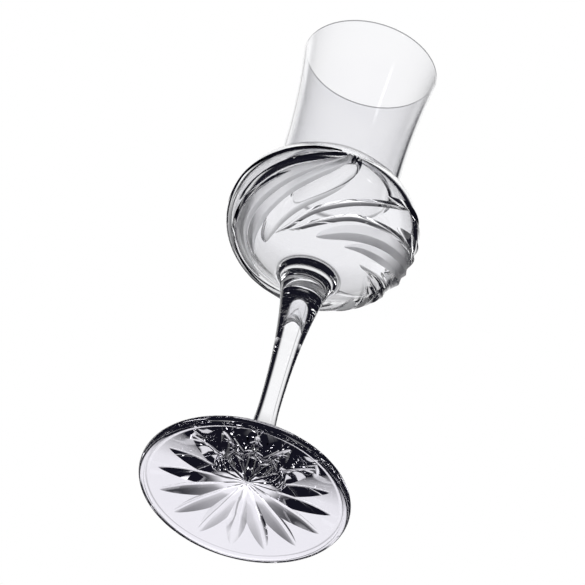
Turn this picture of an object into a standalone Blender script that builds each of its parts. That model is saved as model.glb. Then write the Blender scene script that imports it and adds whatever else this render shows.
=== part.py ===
"""Grappa glass in cut crystal: foot, stem and bowl, joined hot at two seams.

Metres, +Z up. The origin is the middle of the standing ring, on the table.
"""
import math
from collections import namedtuple

import bmesh
import bpy
from mathutils import Vector

# Whole glass
HEIGHT = 0.175
SEAM_GAP = 0.0003

# Foot
FOOT_RADIUS = 0.0326
EDGE_ROUND = 0.0012
EDGE_THICKNESS = 0.0032
RING_WIDTH = 0.0006
COVE_WIDTH = 0.0018
COVE_RISE = 0.0011
DISH_DEPTH = 0.0008
CONE_SLOPE = math.radians(16.0)
ROOT_RADIUS = 0.0130
FOOT_SEAM_RISE = 0.0077

# Star cut in the dish of the foot
STAR_POINTS = 16
STAR_TURN = math.radians(-1.5)
STAR_MARGIN = 0.0021
STAR_RUN = 0.0124
STAR_CROSSING = 0.0005
STAR_HALF_WIDTH = 0.0023
STAR_DEPTH = 0.0020
STAR_DIP = 0.3

# Stem
WAIST_Z = 0.0360
WAIST_RADIUS = 0.00332
FLARE_LENGTH = 0.0124
FLARE_RADIUS = 0.00596
FLARE_SPREAD = 0.155
BOWL_SEAM_DROP = 0.0034

# Bowl
BELLY_Z = 0.1081
BELLY_RADIUS = 0.0299
BELLY_HALF_HEIGHT = 0.0221
BASE_RADIUS = 0.0105
NECK_RADIUS = 0.01865
NECK_FILLET = 0.0018
MOUTH_RADIUS = 0.0211
MOUTH_FLARE_LENGTH = 0.0380
BELLY_WALL = 0.0028
BASE_WALL = 0.0044
NECK_WALL = 0.0018
RIM_WALL = 0.0010

# How far each end of a curve pulls it along its own direction, as a share of the rise or run
ROOT_PULL = 0.7
WAIST_PULL_DOWN = 0.55
WAIST_PULL_UP = 0.31
FLARE_PULL_DOWN = 0.36
FLARE_PULL_UP = 0.5
BASE_PULL = 0.55

# Swirling cuts on the belly: fans that spring from a knot below the neck.
# A cut's path is a few (degrees swept from the knot, degrees of latitude), tip first.
FANS = 3
KNOT_AZIMUTH = math.radians(-84.0)
TIP_TAPER = 0.34
KNOT_TAPER = 0.30
KNOT_DEPTH_SHARE = 0.35
OVERRUN = 0.03

# Facets
FOOT_SEGMENTS = 64
STEM_SEGMENTS = 36
BOWL_SEGMENTS = 60
STAR_STATIONS = 8
CUT_STATIONS = 11
SHARP_ANGLE = math.radians(16.0)
DISH_STEPS = 5
COVE_STEPS = 3
EDGE_STEPS = 8
ROOT_STEPS = 9
TAPER_STEPS = 6
FLARE_STEPS = 7
BELLY_STEPS = 18
NECK_STEPS = 4
MOUTH_STEPS = 6
RIM_STEPS = 4
HOLLOW_STEPS = 11

# Standing ring of the foot, and the dish inside it
RING_OUTER = FOOT_RADIUS - EDGE_ROUND
RING_INNER = RING_OUTER - RING_WIDTH
DISH_RADIUS = RING_INNER - COVE_WIDTH

# One fan: the cuts that run from tips low on the belly up to one knot.
# The fans count from the knot in front; the one behind has no thorns.
Cut = namedtuple("Cut", "name finish fans left_width right_width depth path")
FAN_CUTS = (
    Cut("flute", "polished", FANS, 0.0036, 0.0016, 0.0009,
        ((72, -55), (56, -49.5), (36, -39.5), (16, -27), (6, -16.5), (1, -5.5), (-2, 6.5), (-3, 17))),
    Cut("nick", "polished", FANS, 0.0011, 0.0011, 0.0012,
        ((0, 7), (-0.5, 10), (-1, 13), (-1.5, 16), (-2, 20))),
    Cut("satin_low", "satin", FANS, 0.0024, 0.0021, 0.0008,
        ((99, -54.5), (86, -48.5), (66, -41), (46, -32), (26, -17.5), (11, -2.5), (3, 10), (1, 19))),
    Cut("satin_high", "satin", FANS, 0.0034, 0.0027, 0.0010,
        ((130, -56), (116, -51), (96, -42), (76, -33.5), (56, -25), (36, -14.5), (16, 1), (4, 16))),
    Cut("mitre_low", "polished", FANS, 0.0008, 0.0012, 0.0009,
        ((158, -52.8), (146, -51), (126, -43.5), (106, -33.5), (86, -27), (66, -20.5), (46, -14), (30, -7))),
    Cut("mitre_high", "polished", FANS, 0.0008, 0.0012, 0.0009,
        ((173, -53), (156, -49.5), (136, -38.5), (116, -27), (96, -14), (83, -4), (74, 4), (64, 8))),
    Cut("thorn_low", "polished", FANS - 1, 0.0028, 0.0012, 0.0013,
        ((76, -19), (66, -17), (56, -13.5), (46, -8.5), (36, -3.5), (26, 1), (16, 7), (4, 17))),
    Cut("thorn_high", "polished", FANS - 1, 0.0018, 0.0009, 0.0009,
        ((94, -6), (84, -2), (74, 4), (62, 8), (50, 11.5), (38, 15), (24, 18), (8, 20))),
)


def remove_everything():
    """Empty the scene the script is run in."""
    for item in list(bpy.data.objects):
        bpy.data.objects.remove(item, do_unlink=True)


def glass(name, roughness):
    """Clear crystal, polished or left satin by the wheel."""
    material = bpy.data.materials.new(name)
    material.use_nodes = True
    shader = material.node_tree.nodes["Principled BSDF"]
    shader.inputs["Base Color"].default_value = (0.96, 0.97, 0.98, 1.0)
    shader.inputs["Roughness"].default_value = roughness
    shader.inputs["IOR"].default_value = 1.54
    shader.inputs["Transmission Weight"].default_value = 1.0
    return material


def bezier(start, start_pull, end_pull, end, count):
    """Points of a cubic curve in the (radius, height) plane, with both ends."""
    points = []
    for index in range(count + 1):
        t = index / count
        weights = ((1 - t) ** 3, 3 * t * (1 - t) ** 2, 3 * t * t * (1 - t), t ** 3)
        corners = (start, start_pull, end_pull, end)
        points.append(tuple(sum(w * c[axis] for w, c in zip(weights, corners)) for axis in (0, 1)))
    return points


def arc(centre, radii, first, last, count):
    """Points of an elliptic arc in the (radius, height) plane, with both ends."""
    points = []
    for index in range(count + 1):
        angle = first + (last - first) * index / count
        points.append((centre[0] + radii[0] * math.cos(angle), centre[1] + radii[1] * math.sin(angle)))
    return points


def radius_at(contour, height):
    """Radius of a rising contour at a height."""
    for (r0, z0), (r1, z1) in zip(contour, contour[1:]):
        if z0 <= height <= z1:
            return r0 + (r1 - r0) * (height - z0) / (z1 - z0)
    raise ValueError("height outside the contour")


def between(contour, low, high):
    """The stretch of a rising contour between two heights, with ends cut on them."""
    inner = [point for point in contour if low + SEAM_GAP < point[1] < high - SEAM_GAP]
    return [(radius_at(contour, low), low)] + inner + [(radius_at(contour, high), high)]


def new_object(name, mesh, materials):
    """Add a mesh to the scene, shaded smooth with its creases kept."""
    for material in materials:
        mesh.materials.append(material)
    mesh.shade_smooth()
    mesh.set_sharp_from_angle(angle=SHARP_ANGLE)
    item = bpy.data.objects.new(name, mesh)
    bpy.context.scene.collection.objects.link(item)
    return item


def revolve(name, outline, segments, materials):
    """Turn an outline about Z. It starts and ends on the axis and keeps the glass on its left."""
    shape = bmesh.new()
    rings = []
    for radius, height in outline:
        if radius == 0.0:
            rings.append([shape.verts.new((0.0, 0.0, height))])
            continue
        ring = []
        for step in range(segments):
            angle = 2 * math.pi * step / segments
            ring.append(shape.verts.new((radius * math.cos(angle), radius * math.sin(angle), height)))
        rings.append(ring)
    for lower, upper in zip(rings, rings[1:]):
        for step in range(segments):
            after = (step + 1) % segments
            if len(lower) == 1:
                shape.faces.new((lower[0], upper[after], upper[step]))
            elif len(upper) == 1:
                shape.faces.new((lower[step], lower[after], upper[0]))
            else:
                shape.faces.new((lower[step], lower[after], upper[after], upper[step]))
    mesh = bpy.data.meshes.new(name)
    shape.to_mesh(mesh)
    shape.free()
    return new_object(name, mesh, materials)


def dish_height(radius):
    """Height of the foot's underside inside the standing ring: a cove, then a shallow dish."""
    into_cove = max(radius - DISH_RADIUS, 0.0) / COVE_WIDTH
    into_dish = max(1 - (radius / DISH_RADIUS) ** 2, 0.0)
    return COVE_RISE * (1 - into_cove ** 2) + DISH_DEPTH * into_dish


def cone_height(radius):
    """Height of the foot's sloping top."""
    return EDGE_THICKNESS + (RING_OUTER - radius) * math.tan(CONE_SLOPE)


def belly_height(radius, side):
    """Height of the uncut belly at a radius, below (-1) or above (+1) its widest ring."""
    return BELLY_Z + side * BELLY_HALF_HEIGHT * math.sqrt(1 - (radius / BELLY_RADIUS) ** 2)


def waist_contour():
    """Outer contour from the foot's cone up the stem to the underside of the belly."""
    root = (ROOT_RADIUS, cone_height(ROOT_RADIUS))
    waist = (WAIST_RADIUS, WAIST_Z)
    base = (BASE_RADIUS, belly_height(BASE_RADIUS, -1))
    flare = (FLARE_RADIUS, base[1] - FLARE_LENGTH)

    run = ROOT_PULL * (root[0] - waist[0])
    rise = WAIST_PULL_DOWN * (waist[1] - root[1])
    leave_root = (root[0] - run, root[1] + run * math.tan(CONE_SLOPE))
    points = bezier(root, leave_root, (waist[0], waist[1] - rise), waist, ROOT_STEPS)

    taper = flare[1] - waist[1]
    leave_waist = (waist[0], waist[1] + WAIST_PULL_UP * taper)
    meet_flare = (flare[0] - FLARE_SPREAD * FLARE_PULL_DOWN * taper, flare[1] - FLARE_PULL_DOWN * taper)
    points += bezier(waist, leave_waist, meet_flare, flare, TAPER_STEPS)[1:]

    rise = FLARE_PULL_UP * FLARE_LENGTH
    leave_flare = (flare[0] + FLARE_SPREAD * rise, flare[1] + rise)
    run = BASE_PULL * (base[0] - flare[0])
    slope = BELLY_HALF_HEIGHT / BELLY_RADIUS * BASE_RADIUS / math.sqrt(BELLY_RADIUS ** 2 - BASE_RADIUS ** 2)
    points += bezier(flare, leave_flare, (base[0] - run, base[1] - run * slope), base, FLARE_STEPS)[1:]
    return points


def foot_outline(contour):
    """Underside dish and cove, flat standing ring, rounded edge, cone, root and seam face."""
    radii = [DISH_RADIUS * step / DISH_STEPS for step in range(DISH_STEPS)]
    radii += [DISH_RADIUS + COVE_WIDTH * step / COVE_STEPS for step in range(COVE_STEPS)]
    dish = [(radius, dish_height(radius)) for radius in radii]
    middle = EDGE_THICKNESS / 2
    edge = arc((RING_OUTER, middle), (EDGE_ROUND, middle), -math.pi / 2, math.pi / 2, EDGE_STEPS)
    seam = contour[0][1] + FOOT_SEAM_RISE - SEAM_GAP / 2
    root = between(contour, contour[0][1], seam)
    return dish + [(RING_INNER, 0.0)] + edge + root + [(0.0, seam)]


def stem_outline(contour):
    """Seam face, taper and flare, seam face."""
    low = contour[0][1] + FOOT_SEAM_RISE + SEAM_GAP / 2
    high = contour[-1][1] - BOWL_SEAM_DROP - SEAM_GAP / 2
    return [(0.0, low)] + between(contour, low, high) + [(0.0, high)]


def mouth_radius(height):
    """Outer radius of the mouth, upright from the neck and flaring towards the rim."""
    flare = max(0.0, 1 - (HEIGHT - height) / MOUTH_FLARE_LENGTH)
    return NECK_RADIUS + (MOUTH_RADIUS - NECK_RADIUS) * flare ** 2


def mouth_wall(height):
    """Wall of the mouth, thinner towards the rim."""
    neck_z = belly_height(NECK_RADIUS, 1)
    return NECK_WALL + (RIM_WALL - NECK_WALL) * (height - neck_z) / (HEIGHT - neck_z)


def bowl_outside(contour):
    """Seam face, base, belly, neck and mouth, up to the rim."""
    seam = contour[-1][1] - BOWL_SEAM_DROP + SEAM_GAP / 2
    base = [(0.0, seam)] + between(contour, seam, contour[-1][1])
    low = -math.acos(BASE_RADIUS / BELLY_RADIUS)
    high = math.acos((NECK_RADIUS + NECK_FILLET) / BELLY_RADIUS)
    belly = arc((0.0, BELLY_Z), (BELLY_RADIUS, BELLY_HALF_HEIGHT), low, high, BELLY_STEPS)[1:]
    corner = (NECK_RADIUS, belly_height(NECK_RADIUS, 1))
    turn = (NECK_RADIUS, corner[1] + NECK_FILLET)
    neck = bezier(belly[-1], corner, corner, turn, NECK_STEPS)[1:]
    rim_z = HEIGHT - RIM_WALL / 2
    levels = [turn[1] + (rim_z - turn[1]) * step / MOUTH_STEPS for step in range(1, MOUTH_STEPS + 1)]
    return base + belly + neck + [(mouth_radius(level), level) for level in levels]


def bowl_hollow(rim_z):
    """The hollow from the rim down the mouth and the throat to its floor on the axis."""
    inner_neck = NECK_RADIUS - NECK_WALL
    hollow_radius = BELLY_RADIUS - BELLY_WALL
    floor = BELLY_Z - BELLY_HALF_HEIGHT + BASE_WALL
    throat_z = belly_height(NECK_RADIUS, 1) - NECK_WALL
    half_height = (throat_z - floor) / (1 + math.sqrt(1 - (inner_neck / hollow_radius) ** 2))
    first = math.acos((inner_neck + NECK_FILLET) / hollow_radius)
    belly = arc((0.0, floor + half_height), (hollow_radius, half_height), first, -math.pi / 2, HOLLOW_STEPS)
    bend = throat_z + NECK_FILLET
    throat = bezier((inner_neck, bend), (inner_neck, throat_z), (inner_neck, throat_z), belly[0], NECK_STEPS)
    levels = [rim_z + (bend - rim_z) * step / MOUTH_STEPS for step in range(1, MOUTH_STEPS)]
    mouth = [(mouth_radius(level) - mouth_wall(level), level) for level in levels]
    return mouth + throat + belly[1:-1] + [(0.0, floor)]


def bowl_outline(contour):
    """Outside of the bowl, round rim, and hollow."""
    outside = bowl_outside(contour)
    radius, rim_z = outside[-1]
    lip = RIM_WALL / 2
    rim = arc((radius - lip, rim_z), (lip, lip), 0, math.pi, RIM_STEPS)[1:]
    return outside + rim + bowl_hollow(rim_z)


def smooth_path(points, share):
    """Point of a smooth curve through hand-set points, share 0 at the first and 1 at the last."""
    place = share * (len(points) - 1)
    index = min(max(int(math.floor(place)), 0), len(points) - 2)
    t = place - index
    before = points[max(index - 1, 0)]
    after = points[min(index + 2, len(points) - 1)]
    result = []
    for p0, p1, p2, p3 in zip(before, points[index], points[index + 1], after):
        tangent = (p2 - p0) / 2
        next_tangent = (p3 - p1) / 2
        cubic = 2 * p1 - 2 * p2 + tangent + next_tangent
        square = 3 * p2 - 3 * p1 - 2 * tangent - next_tangent
        result.append(((cubic * t + square) * t + tangent) * t + p1)
    return result


def on_belly(azimuth, latitude):
    """Point and outward normal of the uncut belly."""
    flat = Vector((math.cos(azimuth), math.sin(azimuth), 0.0))
    up = Vector((0.0, 0.0, 1.0))
    wide = math.cos(latitude)
    tall = math.sin(latitude)
    point = flat * (BELLY_RADIUS * wide) + up * (BELLY_Z + BELLY_HALF_HEIGHT * tall)
    normal = flat * (wide / BELLY_RADIUS) + up * (tall / BELLY_HALF_HEIGHT)
    return point, normal.normalized()


def wheel_cutter(name, stations, widths, full_depth, material):
    """Body swept by a mitre wheel: a V that follows (point, normal, depth) stations."""
    lift = full_depth
    shape = bmesh.new()
    sections = []
    for index, (point, normal, depth) in enumerate(stations):
        ahead = stations[min(index + 1, len(stations) - 1)][0]
        behind = stations[max(index - 1, 0)][0]
        side = (ahead - behind).cross(normal).normalized()
        spread = (depth + lift) / full_depth
        keel = shape.verts.new(point - normal * depth)
        left = shape.verts.new(point + normal * lift - side * widths[0] * spread)
        right = shape.verts.new(point + normal * lift + side * widths[1] * spread)
        sections.append((keel, left, right))
    for first, second in zip(sections, sections[1:]):
        for a, b in ((0, 1), (1, 2), (2, 0)):
            shape.faces.new((first[a], first[b], second[b], second[a]))
    shape.faces.new(tuple(reversed(sections[0])))
    shape.faces.new(sections[-1])
    bmesh.ops.triangulate(shape, faces=shape.faces)
    bmesh.ops.recalc_face_normals(shape, faces=shape.faces)
    mesh = bpy.data.meshes.new(name)
    shape.to_mesh(mesh)
    shape.free()
    cutter = new_object(name, mesh, [material])
    cutter.hide_render = True
    cutter.display_type = 'WIRE'
    return cutter


def carve(item, cutters, solver='EXACT'):
    """Take the cutters out of an item and remove them from the scene."""
    for cutter in cutters:
        difference = item.modifiers.new(cutter.name, 'BOOLEAN')
        difference.operation = 'DIFFERENCE'
        difference.solver = solver
        difference.material_mode = 'TRANSFER'
        difference.object = cutter
    graph = bpy.context.evaluated_depsgraph_get()
    mesh = bpy.data.meshes.new_from_object(item.evaluated_get(graph))
    item.modifiers.clear()
    item.data = mesh
    mesh.shade_smooth()
    mesh.set_sharp_from_angle(angle=SHARP_ANGLE)
    for cutter in cutters:
        bpy.data.objects.remove(cutter, do_unlink=True)


def star_cutters(material):
    """One mitre for each point of the star: it dips to just past the middle and runs out to a leaf's tip."""
    cutters = []
    tip_radius = DISH_RADIUS - STAR_MARGIN
    shoulder = tip_radius - STAR_RUN
    span = tip_radius + STAR_CROSSING
    radii = [span * step / STAR_STATIONS - STAR_CROSSING for step in range(STAR_STATIONS + 1)]
    radii.append(tip_radius + OVERRUN * STAR_RUN)
    down = Vector((0.0, 0.0, -1.0))
    for point in range(STAR_POINTS):
        angle = STAR_TURN + 2 * math.pi * point / STAR_POINTS
        flat = Vector((math.cos(angle), math.sin(angle), 0.0))
        stations = []
        for radius in radii:
            run_out = max(radius - shoulder, 0.0) / STAR_RUN
            dip = STAR_DIP * max(1 - radius / shoulder, 0.0)
            place = flat * radius - down * dish_height(radius)
            stations.append((place, down, STAR_DEPTH * (1 + dip - run_out ** 2)))
        widths = (STAR_HALF_WIDTH, STAR_HALF_WIDTH)
        cutters.append(wheel_cutter("star_%d" % point, stations, widths, STAR_DEPTH, material))
    return cutters


def fan_depth(share):
    """Depth share along a cut: in from nothing at the tip, shallower again towards the knot."""
    tip = min(share / TIP_TAPER, 1.0)
    knot = min((1 - share) / KNOT_TAPER, 1.0)
    return (1 - (1 - tip) ** 2) * (KNOT_DEPTH_SHARE + (1 - KNOT_DEPTH_SHARE) * (1 - (1 - knot) ** 2))


def fan_cutters(finishes):
    """The cuts of every fan on the belly."""
    cutters = []
    for fan in range(FANS):
        knot = KNOT_AZIMUTH + 2 * math.pi * fan / FANS
        for cut in FAN_CUTS:
            if fan >= cut.fans:
                continue
            stations = []
            for step in range(CUT_STATIONS + 1):
                share = (1 + OVERRUN) * step / CUT_STATIONS - OVERRUN
                sweep, latitude = smooth_path(cut.path, share)
                point, normal = on_belly(knot - math.radians(sweep), math.radians(latitude))
                stations.append((point, normal, cut.depth * fan_depth(share)))
            widths = (cut.left_width, cut.right_width)
            name = "%s_%d" % (cut.name, fan)
            cutters.append(wheel_cutter(name, stations, widths, cut.depth, finishes[cut.finish]))
    return cutters


def main():
    remove_everything()
    finishes = {"polished": glass("polished_crystal", 0.02), "satin": glass("satin_cut", 0.4)}
    polished = finishes["polished"]
    contour = waist_contour()
    foot = revolve("foot", foot_outline(contour), FOOT_SEGMENTS, [polished])
    # The star's cuts all cross at the middle, where the exact solver leaves open edges
    carve(foot, star_cutters(polished), solver='MANIFOLD')
    revolve("stem", stem_outline(contour), STEM_SEGMENTS, [polished])
    bowl = revolve("bowl", bowl_outline(contour), BOWL_SEGMENTS, [polished, finishes["satin"]])
    carve(bowl, fan_cutters(finishes))


main()
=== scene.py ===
"""The looks of a cut crystal grappa glass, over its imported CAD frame.

The foot, the stem and the bowl are turned again at a finer grade than the frame's, to the same sizes,
and each takes the place of its CAD node. The star under the foot and the swirling cuts on the belly are
made by one Geometry Nodes tree, which takes a wheel's cut out of a piece and repeats it around the axis.
All lengths are in metres, +Z runs up the axis of the glass and -Y is the side that the camera looks from,
below the level of the foot.
"""

import math
from collections import namedtuple

import bmesh
import bpy
import numpy as np
from bpy.props import FloatProperty, FloatVectorProperty, IntProperty, PointerProperty
from mathutils import Matrix, Vector


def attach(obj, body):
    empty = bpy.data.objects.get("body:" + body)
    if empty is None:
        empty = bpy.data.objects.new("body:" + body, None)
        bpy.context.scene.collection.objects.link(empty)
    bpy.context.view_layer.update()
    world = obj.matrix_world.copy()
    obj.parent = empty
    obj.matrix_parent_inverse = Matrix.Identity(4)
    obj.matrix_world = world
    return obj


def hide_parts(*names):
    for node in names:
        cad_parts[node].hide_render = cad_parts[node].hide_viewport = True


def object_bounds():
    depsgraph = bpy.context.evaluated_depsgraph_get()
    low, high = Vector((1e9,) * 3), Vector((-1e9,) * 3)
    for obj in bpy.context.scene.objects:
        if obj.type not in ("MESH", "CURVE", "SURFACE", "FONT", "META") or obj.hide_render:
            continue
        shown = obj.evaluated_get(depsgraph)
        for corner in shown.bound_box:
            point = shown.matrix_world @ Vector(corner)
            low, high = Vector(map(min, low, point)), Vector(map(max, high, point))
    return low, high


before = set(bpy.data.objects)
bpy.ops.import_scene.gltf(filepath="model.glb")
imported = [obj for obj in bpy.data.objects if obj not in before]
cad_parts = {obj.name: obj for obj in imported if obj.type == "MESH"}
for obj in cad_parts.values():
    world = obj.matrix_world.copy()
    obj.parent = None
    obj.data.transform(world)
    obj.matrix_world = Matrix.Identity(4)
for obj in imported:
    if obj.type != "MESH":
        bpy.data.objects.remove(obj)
CAD_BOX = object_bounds()

bl_info = {
    "name": "Cut Crystal Grappa Glass",
    "version": (1, 0, 0),
    "blender": (4, 5, 0),
    "location": "3D View > Sidebar > Glass",
    "description": "Builds a stemmed grappa glass with a star-cut foot and a swirl-cut belly",
    "category": "Object",
}

FULL_TURN = 2 * math.pi
WHITE = (1.0, 1.0, 1.0, 1.0)

# Place that the camera looks at
LOOK_AT = (-0.0031, 0.0, 0.0799)

# Shares of a span that the stem's curves are pulled along before they turn
ROOT_PULL = 0.7
WAIST_PULL_DOWN = 0.55
WAIST_PULL_UP = 0.31
FLARE_PULL_DOWN = 0.36
FLARE_PULL_UP = 0.5
BASE_PULL = 0.55

# How fast the stem's radius grows with height where its flare starts
FLARE_SPREAD = 0.155

# Points along each stretch of an outline, and around the axis
CURVE_STEPS = 40
DISH_STEPS = 48
COVE_STEPS = 10
EDGE_STEPS = 32
CONE_STEPS = 20
BELLY_STEPS = 72
FILLET_STEPS = 12
MOUTH_STEPS = 32
RIM_STEPS = 14
SIDES = 224
STEM_SIDES = 160
FLOOR_SIDES = 96

# Stations along a cut, points across half of its section, and the share that its tool runs past its tip
STAR_STATIONS = 48
FAN_STATIONS = 72
SECTION_STEPS = 6
OVERRUN = 0.03

# Angles past which an edge between two faces is a crisp one
CRISP_CUT = math.radians(14)
CRISP_TURNING = math.radians(25)

# Radius below which a point is on the axis, and how near to a seam's height its faces lie
ON_AXIS = 1e-9
ON_SEAM = 1e-7

# Groups of faces that are matched with an outline in turn, to save memory
FACE_GROUPS = 64

# How often light can be mirrored inside the glass before it is lost
MIRRORINGS = 4

# Shares of the half width of a flag and of a lamp that are even, inside their soft sides
FLAG_CORE = 0.5
LAMP_CORE = 0.6

# How far a direction points behind the glass, 1 for straight along +Y: where the room's low light starts
# to sink, where it has sunk by its share, and where the two low bands are at their full brightness
SINK_START = 0.25
SINK_END = 0.65
SINK_SHARE = 0.75
GLOW_FULL = 0.2

# How far the floor lies below the glass, and how bright it is in its darker patches
FLOOR_DROP = 0.0002
FLOOR_PATCHES = 0.98

# Behind the glass, where the floor starts to show in mirrored light and where it shows in full
FLOOR_NEAR = 0.08
FLOOR_FAR = 0.16

# How often light may bounce: cut crystal passes it on many times before it leaves
LIGHT_BOUNCES = {
    "max_bounces": 32,
    "glossy_bounces": 24,
    "transmission_bounces": 32,
    "transparent_max_bounces": 64,
}

# Noises in the finishes
Noise = namedtuple("Noise", "scale detail")
TINT_CLOUD = Noise(45.0, 2.0)
WIPING = Noise(160.0, 4.0)
HAND_WAVES = Noise(70.0, 1.0)
SATIN_CLOUD = Noise(300.0, 2.0)
SATIN_GRAIN = Noise(2600.0, 3.0)
FLOOR_CLOUD = Noise(3.0, 2.0)

# Values of a noise at which its effect starts and is in full, and a noise's mean
TINT_SPAN = (0.35, 0.75)
WIPING_SPAN = (0.45, 0.8)
SATIN_SPAN = (0.3, 0.8)
NOISE_MEAN = 0.5

# How much clouds and grain change the satin's roughness, and how much the clouds clear its colour
CLOUD_ROUGHNESS = 0.08
GRAIN_ROUGHNESS = 0.05
CLOUD_CLEARING = 0.5

# Bumps in the finishes
WAVE_BUMP = {"Strength": 0.02, "Distance": 0.0004}
SATIN_BUMP = {"Strength": 0.05, "Distance": 0.00005}

# Depth of a belly cut along its way, as shares of its length and of its full depth
TIP_TAPER = 0.34
KNOT_TAPER = 0.30
KNOT_DEPTH_SHARE = 0.35

# One cut of a fan: how many of the fans have it, its widths to the left and right of its crease, its depth
# and the round of its crease in metres, and its way over the belly as (degrees swept back from the knot,
# degrees of latitude). The fan behind has no thorns
Cut = namedtuple("Cut", "name finish fans left_width right_width depth crease_round path")
FAN_CUTS = (
    Cut(
        "flute", "polished", 3, 0.0036, 0.0016, 0.0009, 0.00050,
        ((72, -55), (56, -49.5), (36, -39.5), (16, -27), (6, -16.5), (1, -5.5), (-2, 6.5), (-3, 17)),
    ),
    Cut(
        "nick", "polished", 3, 0.0011, 0.0011, 0.0012, 0.00010,
        ((0, 7), (-0.5, 10), (-1, 13), (-1.5, 16), (-2, 20)),
    ),
    Cut(
        "satin_low", "satin", 3, 0.0024, 0.0021, 0.0008, 0.00003,
        ((99, -54.5), (86, -48.5), (66, -41), (46, -32), (26, -17.5), (11, -2.5), (3, 10), (1, 19)),
    ),
    Cut(
        "satin_high", "satin", 3, 0.0034, 0.0027, 0.0010, 0.00003,
        ((130, -56), (116, -51), (96, -42), (76, -33.5), (56, -25), (36, -14.5), (16, 1), (4, 16)),
    ),
    Cut(
        "mitre_low", "polished", 3, 0.0008, 0.0012, 0.0009, 0.00010,
        ((158, -52.8), (146, -51), (126, -43.5), (106, -33.5), (86, -27), (66, -20.5), (46, -14), (30, -7)),
    ),
    Cut(
        "mitre_high", "polished", 3, 0.0008, 0.0012, 0.0009, 0.00010,
        ((173, -53), (156, -49.5), (136, -38.5), (116, -27), (96, -14), (83, -4), (74, 4), (64, 8)),
    ),
    Cut(
        "thorn_low", "polished", 2, 0.0028, 0.0012, 0.0013, 0.00010,
        ((76, -19), (66, -17), (56, -13.5), (46, -8.5), (36, -3.5), (26, 1), (16, 7), (4, 17)),
    ),
    Cut(
        "thorn_high", "polished", 2, 0.0018, 0.0009, 0.0009, 0.00010,
        ((94, -6), (84, -2), (74, 4), (62, 8), (50, 11.5), (38, 15), (24, 18), (8, 20)),
    ),
)

# One place along a cut: a point on the uncut surface, the way out of the glass there, and the depth below it
Station = namedtuple("Station", "point outward depth")


def length(name, description, default):
    return FloatProperty(name=name, description=description, default=default, min=0.0,
                         unit="LENGTH", precision=5)


def angle(name, description, degrees):
    return FloatProperty(name=name, description=description, default=math.radians(degrees), subtype="ANGLE")


def share(name, description, default):
    return FloatProperty(name=name, description=description, default=default, min=0.0, soft_max=1.0,
                         subtype="FACTOR")


def brightness(name, description, default):
    return FloatProperty(name=name, description=description, default=default, min=0.0)


def colour(name, description, default):
    return FloatVectorProperty(name=name, description=description, default=default, min=0.0, soft_max=1.0,
                               size=3, subtype="COLOR")


class GlassSizes(bpy.types.PropertyGroup):
    """Sizes of the foot, the stem and the bowl"""

    height: length("Height", "Height of the rim above the table", CAD_BOX[1][2])
    foot_radius: length("Foot Radius", "Radius of the foot at its widest", CAD_BOX[1][0])
    edge_round: length("Edge Round", "How far the foot's rounded edge reaches in", 0.0012)
    edge_thickness: length("Edge Thickness", "Thickness of the foot at its edge", 0.0032)
    ring_width: length("Ring Width", "Width of the flat ring that the glass stands on", 0.0006)
    cove_width: length("Cove Width", "Width of the cove that rises inside the standing ring", 0.0018)
    cove_rise: length("Cove Rise", "Height of that cove", 0.0011)
    dish_depth: length("Dish Depth", "Further rise of the dish from the cove to its middle", 0.0008)
    cone_slope: angle("Cone Slope", "Slope of the foot's top", 16)
    root_radius: length("Root Radius", "Radius where the foot's top starts to sweep up", 0.0130)
    foot_seam_rise: length("Foot Seam Rise", "Height of the foot's seam above its root", 0.0077)
    waist_height: length("Waist Height", "Height of the stem's narrowest place", 0.036)
    waist_radius: length("Waist Radius", "Radius of the stem at its narrowest", 0.00332)
    flare_length: length("Flare Length", "Length of the flare below the bowl", 0.0124)
    flare_radius: length("Flare Radius", "Radius where the flare starts", 0.00596)
    bowl_seam_drop: length("Bowl Seam Drop", "Depth of the bowl's seam below the belly", 0.0034)
    belly_height: length("Belly Height", "Height of the belly's widest place", 0.1081)
    belly_radius: length("Belly Radius", "Radius of the belly at its widest", 0.0299)
    belly_half_height: length("Belly Half Height", "Half of the belly's height as a whole spheroid", 0.0221)
    base_radius: length("Base Radius", "Radius where the belly meets the flare", 0.0105)
    neck_radius: length("Neck Radius", "Radius of the mouth where it leaves the belly", 0.01865)
    neck_fillet: length("Neck Fillet", "Reach of the rounded corner at the neck", 0.0018)
    mouth_radius: length("Mouth Radius", "Radius of the mouth at the rim", 0.0211)
    mouth_flare_length: length("Mouth Flare Length", "Length over which the mouth widens", 0.038)
    belly_wall: length("Belly Wall", "Thickness of the belly's wall at its widest", 0.0028)
    base_wall: length("Base Wall", "Thickness of the glass under the hollow", 0.0044)
    neck_wall: length("Neck Wall", "Thickness of the wall at the neck", 0.0018)
    rim_wall: length("Rim Wall", "Thickness of the wall at the rim", 0.0010)


class GlassCuts(bpy.types.PropertyGroup):
    """The wheel cuts under the foot and on the belly"""

    star_points: IntProperty(name="Star Points", description="Points of the star under the foot",
                             default=16, min=3)
    star_turn: angle("Star Turn", "Turn of the star about the axis", -1.5)
    star_margin: length("Star Margin", "Space from the star's tips to the cove", 0.0021)
    star_run: length("Star Run", "Length over which a star cut runs out to its tip", 0.0124)
    star_crossing: length("Star Crossing", "How far a star cut runs past the middle", 0.0005)
    star_dip: share("Star Dip", "How much a star cut gains in depth towards the middle", 0.3)
    star_half_width: length("Star Half Width", "Half of a star cut's width where its run-out starts", 0.0023)
    star_depth: length("Star Depth", "Depth of a star cut where its run-out starts", 0.0020)
    star_round: length("Star Round", "Round of the crease in a star cut", 0.0007)
    fans: IntProperty(name="Fans", description="Fans of cuts around the belly", default=3, min=1)
    knot_azimuth: angle("Knot Azimuth", "Direction of the first knot, where a fan's cuts meet", -84)


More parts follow.
